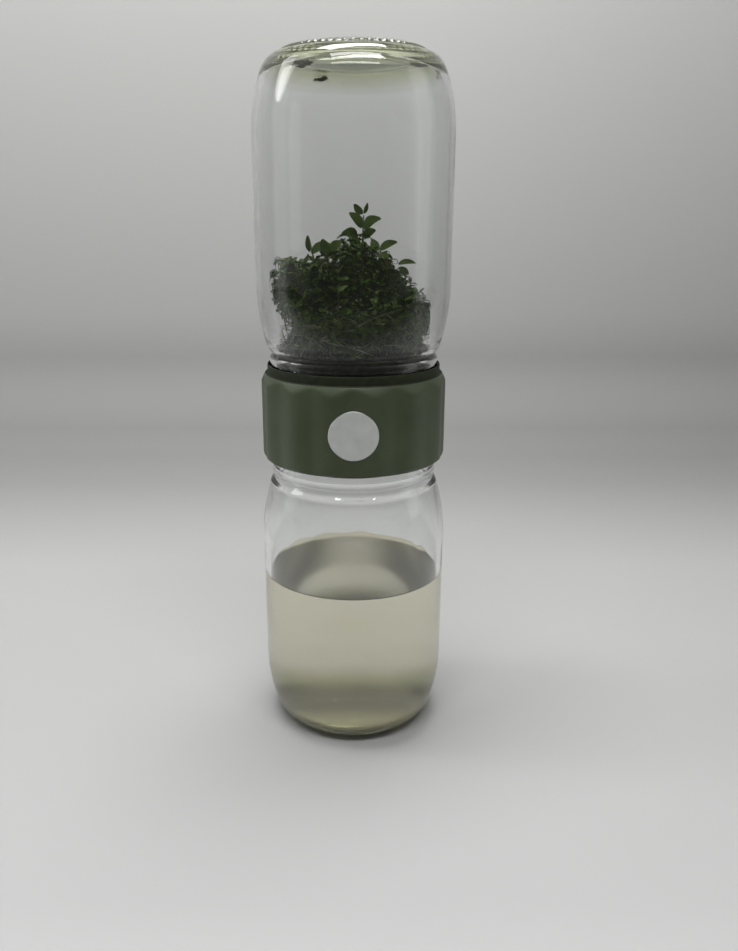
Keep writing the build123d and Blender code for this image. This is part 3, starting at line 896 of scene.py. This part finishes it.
def scatterGrowth(name, kinds, count, material, low, tiltMost, keep):
    parts = []
    while len(parts) < count:
        angle, radius = anyTurn(), growth["spread"] * math.sqrt(rng.random())
        x, y = radius * math.cos(angle), radius * math.sin(angle)
        share = low + (1 - low) * rng.random() ** 0.6
        if not keep(x, y):
            continue
        top = growth["lowest"] + (plantTop(x, y) - growth["lowest"]) * share
        tilt = turned(rng.uniform(0.05, tiltMost) * (0.3 + radius / growth["tiltRadius"]),
                      ringSpot(1, angle + math.pi / 2))
        place = movedTo((x, y, top)) @ tilt @ turned(anyTurn())
        parts.append(copyTo(rng.choice(kinds), place @ Matrix.Scale(rng.uniform(0.8, 1.1), 4)))
    finishPlant(joinPieces(parts), name, material)


rng = random.Random(growth["seed"])
scatterGrowth("shootsFront", shootKinds, growth["shoots"], leafGreen, 0.45, 0.5, lambda x, y: y < 2)
scatterGrowth("shootsBack", shootKinds, growth["shoots"], leafGreen, 0.5, 0.5, lambda x, y: y >= 2)
scatterGrowth("featherFronds", frondKinds, growth["fronds"], frondGreen, 0.3, 0.6,
              lambda x, y: x < -19 or (x > 17 and rng.random() < 0.35))
scatterGrowth("darkFronds", frondKinds, growth["darkFronds"], cushionMoss, 0.3, 0.6,
              lambda x, y: x > -22)
discard(*shootKinds, *frondKinds, *leafKinds)

# Tendrils that curl out of the mound's right slope and its left shoulder
tendrils = {"right": 26, "left": 8, "seed": 91, "steps": 9, "turnStep": 0.62, "shrink": 0.085, "thick": 0.27}
rng = random.Random(tendrils["seed"])
curls = []
for count in range(tendrils["right"] + tendrils["left"]):
    x = rng.uniform(14, 35) if count < tendrils["right"] else rng.uniform(-36, -22)
    y = rng.uniform(-14, 12)
    top, size, side = plantTop(x, y), rng.uniform(1.6, 3.2), rng.choice((-1, 1))
    path = [(x, y, top - 7), (x, y, top - 2)]
    for step in range(tendrils["steps"]):
        turn = step * tendrils["turnStep"]
        reach = size * (1 - step * tendrils["shrink"])
        path.append((x + side * (size - reach * math.cos(turn)), y + step * 0.15,
                     top + reach * math.sin(turn) + step * 0.12))
    taper = [1.2, 1.1] + [1 - step * 0.06 for step in range(tendrils["steps"])]
    curls.append(drawTube(path, tendrils["thick"], taper))
finishPlant(joinPieces(curls), "curledTendrils", leafGreen)
print("undergrowth ready")


# Moss cushions: a lumpy cushion each, set all over with small rosettes

moss = {"centre": (0, 0, 13.2, 19.6), "ringRadius": 24.3, "radius": 10.1, "height": 11.2, "count": 6,
        "rosettes": 330, "centreRosettes": 480, "seed": 13, "steps": 36, "goldenTurn": 2.39996,
        "lowest": 203.6}


def makeRosette():
    leaflet = growLeaflet(1.3, 0.75, 0.75, 0.9)
    parts = [copyTo(leaflet, leafPlace(0, turn, lift, 1))
             for turn, lift in ((0, 20), (60, 0), (120, 25), (180, 5), (240, 20), (300, 0))]
    discard(leaflet)
    return joinPieces(parts)


def facing(direction):
    # turns +Z into this direction
    return direction.to_track_quat("Z", "Y").to_matrix().to_4x4()


def growCushion(name, x, y, radius, height, rosettes):
    outline = atLevel(0, (0, radius * 0.5, radius)) + atLevel(height * 0.25, [radius])
    outline += atLevel(height * 0.4, [radius * 0.98])
    outline += [Vector((radius * math.cos(a), height * (0.4 + 0.6 * math.sin(a))))
                for a in (0.35, 0.6, 0.85, 1.1, 1.35)]
    cushion = turnOutline(outline + atLevel(height, [0]), moss["steps"])
    shapeByPlace(cushion, lambda r, a, z: (r * (1 + 0.07 * noise.noise(Vector((a * 2, z * 0.3, x)))), z))
    parts = [cushion]
    for count in range(rosettes):
        rise = 1 - (count + 0.5) / rosettes * 0.95
        turn = count * moss["goldenTurn"]
        spread = math.sqrt(1 - rise * rise)
        spot = ringSpot(radius * spread, turn, height * (0.35 + 0.63 * rise))
        place = movedTo(spot) @ facing(ringSpot(spread, turn, rise + 0.15)) @ turned(anyTurn())
        parts.append(copyTo(rosette, place @ Matrix.Scale(rng.uniform(0.75, 1.2), 4)))
    cushion = joinPieces(parts)
    cushion.data.transform(movedTo((x, y, planting["soil"])))
    finishPlant(cushion, "mossCushion" + name.capitalize(), cushionMoss, ["moss_cushion_" + name],
                moss["lowest"], smoothAngle=50)


rng = random.Random(moss["seed"])
rosette = makeRosette()
growCushion("centre", *moss["centre"], moss["centreRosettes"])
for count in range(moss["count"]):
    spot = ringSpot(moss["ringRadius"], math.radians(count * 360 / moss["count"] - 90))
    growCushion(str(count + 1), spot.x, spot.y, moss["radius"], moss["height"], moss["rosettes"])
print("moss cushions ready")


# Straw: stalks laid round the edge and tangled over the front cushions

straw = {"kinds": 14, "ring": 40, "front": 46, "seed": 77, "rim": 38.5, "lowest": 204.2}
rng = random.Random(straw["seed"])
stalkKinds = []
for kind in range(straw["kinds"]):
    length = rng.uniform(13, 30)
    sway = [upTo(0.13) * length for count in range(6)]
    kink = length * rng.choice((0, 0, 0.22))    # some stalks are bent over
    points = [(-length / 2, 0, 0), (-length / 5, sway[0] + kink, sway[1] * 0.4),
              (length / 6, sway[2], sway[3] * 0.4), (length / 2, sway[4] * 1.5, sway[5])]
    stalkKinds.append(drawTube(points, rng.uniform(0.2, 0.42), (0.8, 1, 1, 0.6)))
stalks = []
for count in range(straw["ring"] + straw["front"]):
    inFront = count >= straw["ring"]
    angle = rng.uniform(-2.75, -0.4) if inFront else anyTurn()
    radius = rng.uniform(33, 38) if inFront else rng.uniform(31, 38)
    level = rng.uniform(206, 222) if inFront else rng.uniform(204.5, 212)
    turn = angle + math.pi / 2 + rng.gauss(0, 0.5 if inFront else 0.9)
    aim = turned(turn) @ turned(upTo(0.6), "Y") @ turned(anyTurn(), "X")
    stalks.append(copyTo(rng.choice(stalkKinds), movedTo(ringSpot(radius, angle, level)) @ aim))
discard(*stalkKinds)
finishPlant(joinPieces(stalks), "strawBed", dryStraw, ["straw_mulch"], straw["lowest"],
            straw["rim"], 0)
print("straw laid")


# Bits of moss stuck inside the dome's top and heel: across, back, size both ways, how far they
# hang. The inside is flat up to the radius flat, and heelRadius is the curve of its heel
stuckMoss = {"seed": 5, "perMm": 1.3, "flat": 32, "heelRadius": 10, "heelLevel": 15.5, "most": 41.2,
             "bits": ((-23, -18, 13, 26, 3.2), (-9, -31, 9, 7, 1.4), (-16, 32, 8, 4, 0.8),
                      (29, -18, 8, 20, 2.8), (39, -9, 2.5, 2, 0.8), (40.5, 1, 1.5, 1.5, 0.6),
                      (37, -16, 1.5, 2, 0.6))}
rng = random.Random(stuckMoss["seed"])
bits = []
for x, y, wide, deep, hang in stuckMoss["bits"]:
    for count in range(int(wide * deep * stuckMoss["perMm"])):
        spread, aim = math.sqrt(rng.random()), anyTurn()
        ragged = 0.75 + 0.5 * noise.noise(Vector((math.cos(aim) * 1.4 + x, math.sin(aim) * 1.4, y)))
        reach = spread * ragged
        spot = Vector((x + reach * math.cos(aim) * wide / 2, y + reach * math.sin(aim) * deep / 2, 0))
        if spot.length > stuckMoss["most"]:
            spot *= stuckMoss["most"] / spot.length
        lean = math.asin(max(0, spot.length - stuckMoss["flat"]) / stuckMoss["heelRadius"])
        inward = -ringSpot(math.sin(lean), math.atan2(spot.y, spot.x), math.cos(lean))
        spot.z = fullHeight - (stuckMoss["heelLevel"] - stuckMoss["heelRadius"] * math.cos(lean))
        spot += inward * (0.25 + hang * (1 - spread ** 2) * rng.random())
        place = movedTo(spot) @ facing(inward) @ turned(anyTurn())
        bits.append(copyTo(rosette, place @ Matrix.Scale(rng.uniform(0.6, 1.1), 4)))
discard(rosette)
finishPiece(joinPieces(bits), "mossBits", "dome", driedMoss, (), 60)
print("moss stuck inside the dome")


# Stage, lamps and camera, in metres

stage = {"back": 0.62, "front": -0.95, "half": 2.8, "wall": 2.4, "cove": 0.1}
backdrop = drawPrimitive(bpy.ops.mesh.primitive_plane_add, size=1)
for vertex in backdrop.data.vertices:
    y = stage["back"] if vertex.co.y > 0 else stage["front"]
    vertex.co = Vector((vertex.co.x * 2 * stage["half"], y, 0))
bpy.ops.object.mode_set(mode="EDIT")
bpy.ops.mesh.select_mode(type="EDGE")
bpy.ops.mesh.select_all(action="DESELECT")
bpy.ops.object.mode_set(mode="OBJECT")
for edge in backdrop.data.edges:
    edge.select = all(backdrop.data.vertices[end].co.y > 0 for end in edge.vertices)
bpy.ops.object.mode_set(mode="EDIT")
bpy.ops.mesh.extrude_region_move(TRANSFORM_OT_translate={"value": (0, 0, stage["wall"])})
bpy.ops.mesh.normals_make_consistent(inside=True)
bpy.ops.object.mode_set(mode="OBJECT")
cove = backdrop.modifiers.new("cove", "BEVEL")
cove.width = stage["cove"]
cove.segments = 10
cove.limit_method = "ANGLE"
applyModifiers(backdrop)
bpy.ops.object.shade_smooth()
backdrop.name = "paperBackdrop"

# Seamless paper: matt pale grey, with painted shade: darker up to the cove, paler again up the wall
# and darker to the right. Shades go by the run, which is metres back along the floor and then up the
# wall. Mirrored and seen through glass, the paper in front of the object is painted as dim as the room behind
# a studio's camera
paperLook = {"start": -0.5, "end": 1.25, "rightSide": 0.84, "mirrored": 0.18,
             "paintedShades": {-0.3: "#a6a6a6", -0.2: "#b0b0b0", -0.15: "#a9a9a9", 0.2: "#a6a6a5", 0.42: "#8f8f8e",
                        0.6: "#898988", 0.77: "#b0b0ae", 1.18: "#c3c3c1"}}
paper, tree = newMaterial("seamlessPaper")
axes = axesOf(tree)
run = mathOf(tree, "ADD", (axes, "Y"), (axes, "Z"))
share = mapRange(tree, (run, "Value"), paperLook["start"], paperLook["end"])
runLength = paperLook["end"] - paperLook["start"]
# painted shade: the paper darker up to the cove and paler again up the wall
shade = colourRamp(tree, (share, "Result"), {(place - paperLook["start"]) / runLength: colour
                                             for place, colour in paperLook["paintedShades"].items()})
# painted shade: the paper darker towards the right
side = mapRange(tree, (axes, "X"), 0.08, 0.5, 1.0, paperLook["rightSide"])
# painted reflection: for rays that are neither camera nor diffuse rays, the paper in front is painted dim
path = addNode(tree, "ShaderNodeLightPath")
plain = mathOf(tree, "ADD", (path, "Is Camera Ray"), (path, "Is Diffuse Ray"))
dimmed = mapRange(tree, (run, "Value"), -0.06, -0.4, 1.0, paperLook["mirrored"])
damped = mathOf(tree, "MAXIMUM", (dimmed, "Result"), (plain, "Value"))
strength = mathOf(tree, "MULTIPLY", (side, "Result"), (damped, "Value"))
toned = scaledBy(tree, (shade, "Color"), (strength, "Value"))
addSurface(tree, {"Roughness": 0.85, "Specular IOR Level": 0.2}, {"Base Color": (toned, "Vector")})
backdrop.data.materials.append(paper)

# Lamps: place, size and power in watts, all aimed at the planter's middle
lamps = {"overhead": ((-0.05, 0.1, 1.5), (0.9, 0.36), 17.0), "front": ((0.05, -0.85, 1.75), (1.4, 0.3), 17.0),
         "keyLeft": ((-1.35, 0.1, 1.15), (0.45, 0.9), 4.0), "rear": ((0.0, 0.75, 1.05), (0.9, 0.16), 3.0),
         "leftStrip": ((-0.85, 0.0, 0.45), (0.3, 0.9), 0.2),
         "rightStrip": ((0.85, -0.1, 0.45), (0.3, 0.8), 0.35)}
aimPoint = Vector((0, 0, 0.17))
for name, (place, size, power) in lamps.items():
    light = bpy.data.lights.new(name, "AREA")
    light.shape = "ELLIPSE" if name == "keyLeft" else "RECTANGLE"
    light.size, light.size_y = size
    light.energy = power
    lamp = linkNew(name, light)
    lamp.location = place
    lamp.rotation_euler = (aimPoint - Vector(place)).to_track_quat("-Z", "Y").to_euler()

# Air: bright ceiling and dim walls, and dark behind the camera, so that the glass shows little veil
world = bpy.data.worlds.new("studioAir")
bpy.context.scene.world = world
world.use_nodes = True
tree = world.node_tree
tree.nodes.clear()
axes = axesOf(tree, "Generated")
lift = mapRange(tree, (axes, "Z"), 0.0, 0.75, 0.42, 0.7)
dark = mapRange(tree, (axes, "Y"), -0.8, 0.2, 0.2, 1.0)
bright = mathOf(tree, "MULTIPLY", (lift, "Result"), (dark, "Result"))
air = addNode(tree, "ShaderNodeBackground", {"Color": linear("#f0f1ef")}, {"Strength": (bright, "Value")})
addNode(tree, "ShaderNodeOutputWorld", {}, {"Surface": (air, "Background")})

view = {"place": (0, -0.432, 0.2666), "tilt": 73.08, "lens": 32.33, "sensor": 36, "shift": 0.0163}
lensData = bpy.data.cameras.new("studioCamera")
lensData.sensor_width = view["sensor"]
lensData.lens = view["lens"]
lensData.shift_x = view["shift"]
lensData.clip_start = 0.01
camera = linkNew("studioCamera", lensData)
camera.location = view["place"]
camera.rotation_euler = (math.radians(view["tilt"]), 0, 0)
bpy.context.scene.camera = camera
bpy.context.scene.view_settings.view_transform = "Standard"
print("stage, lamps and camera set")
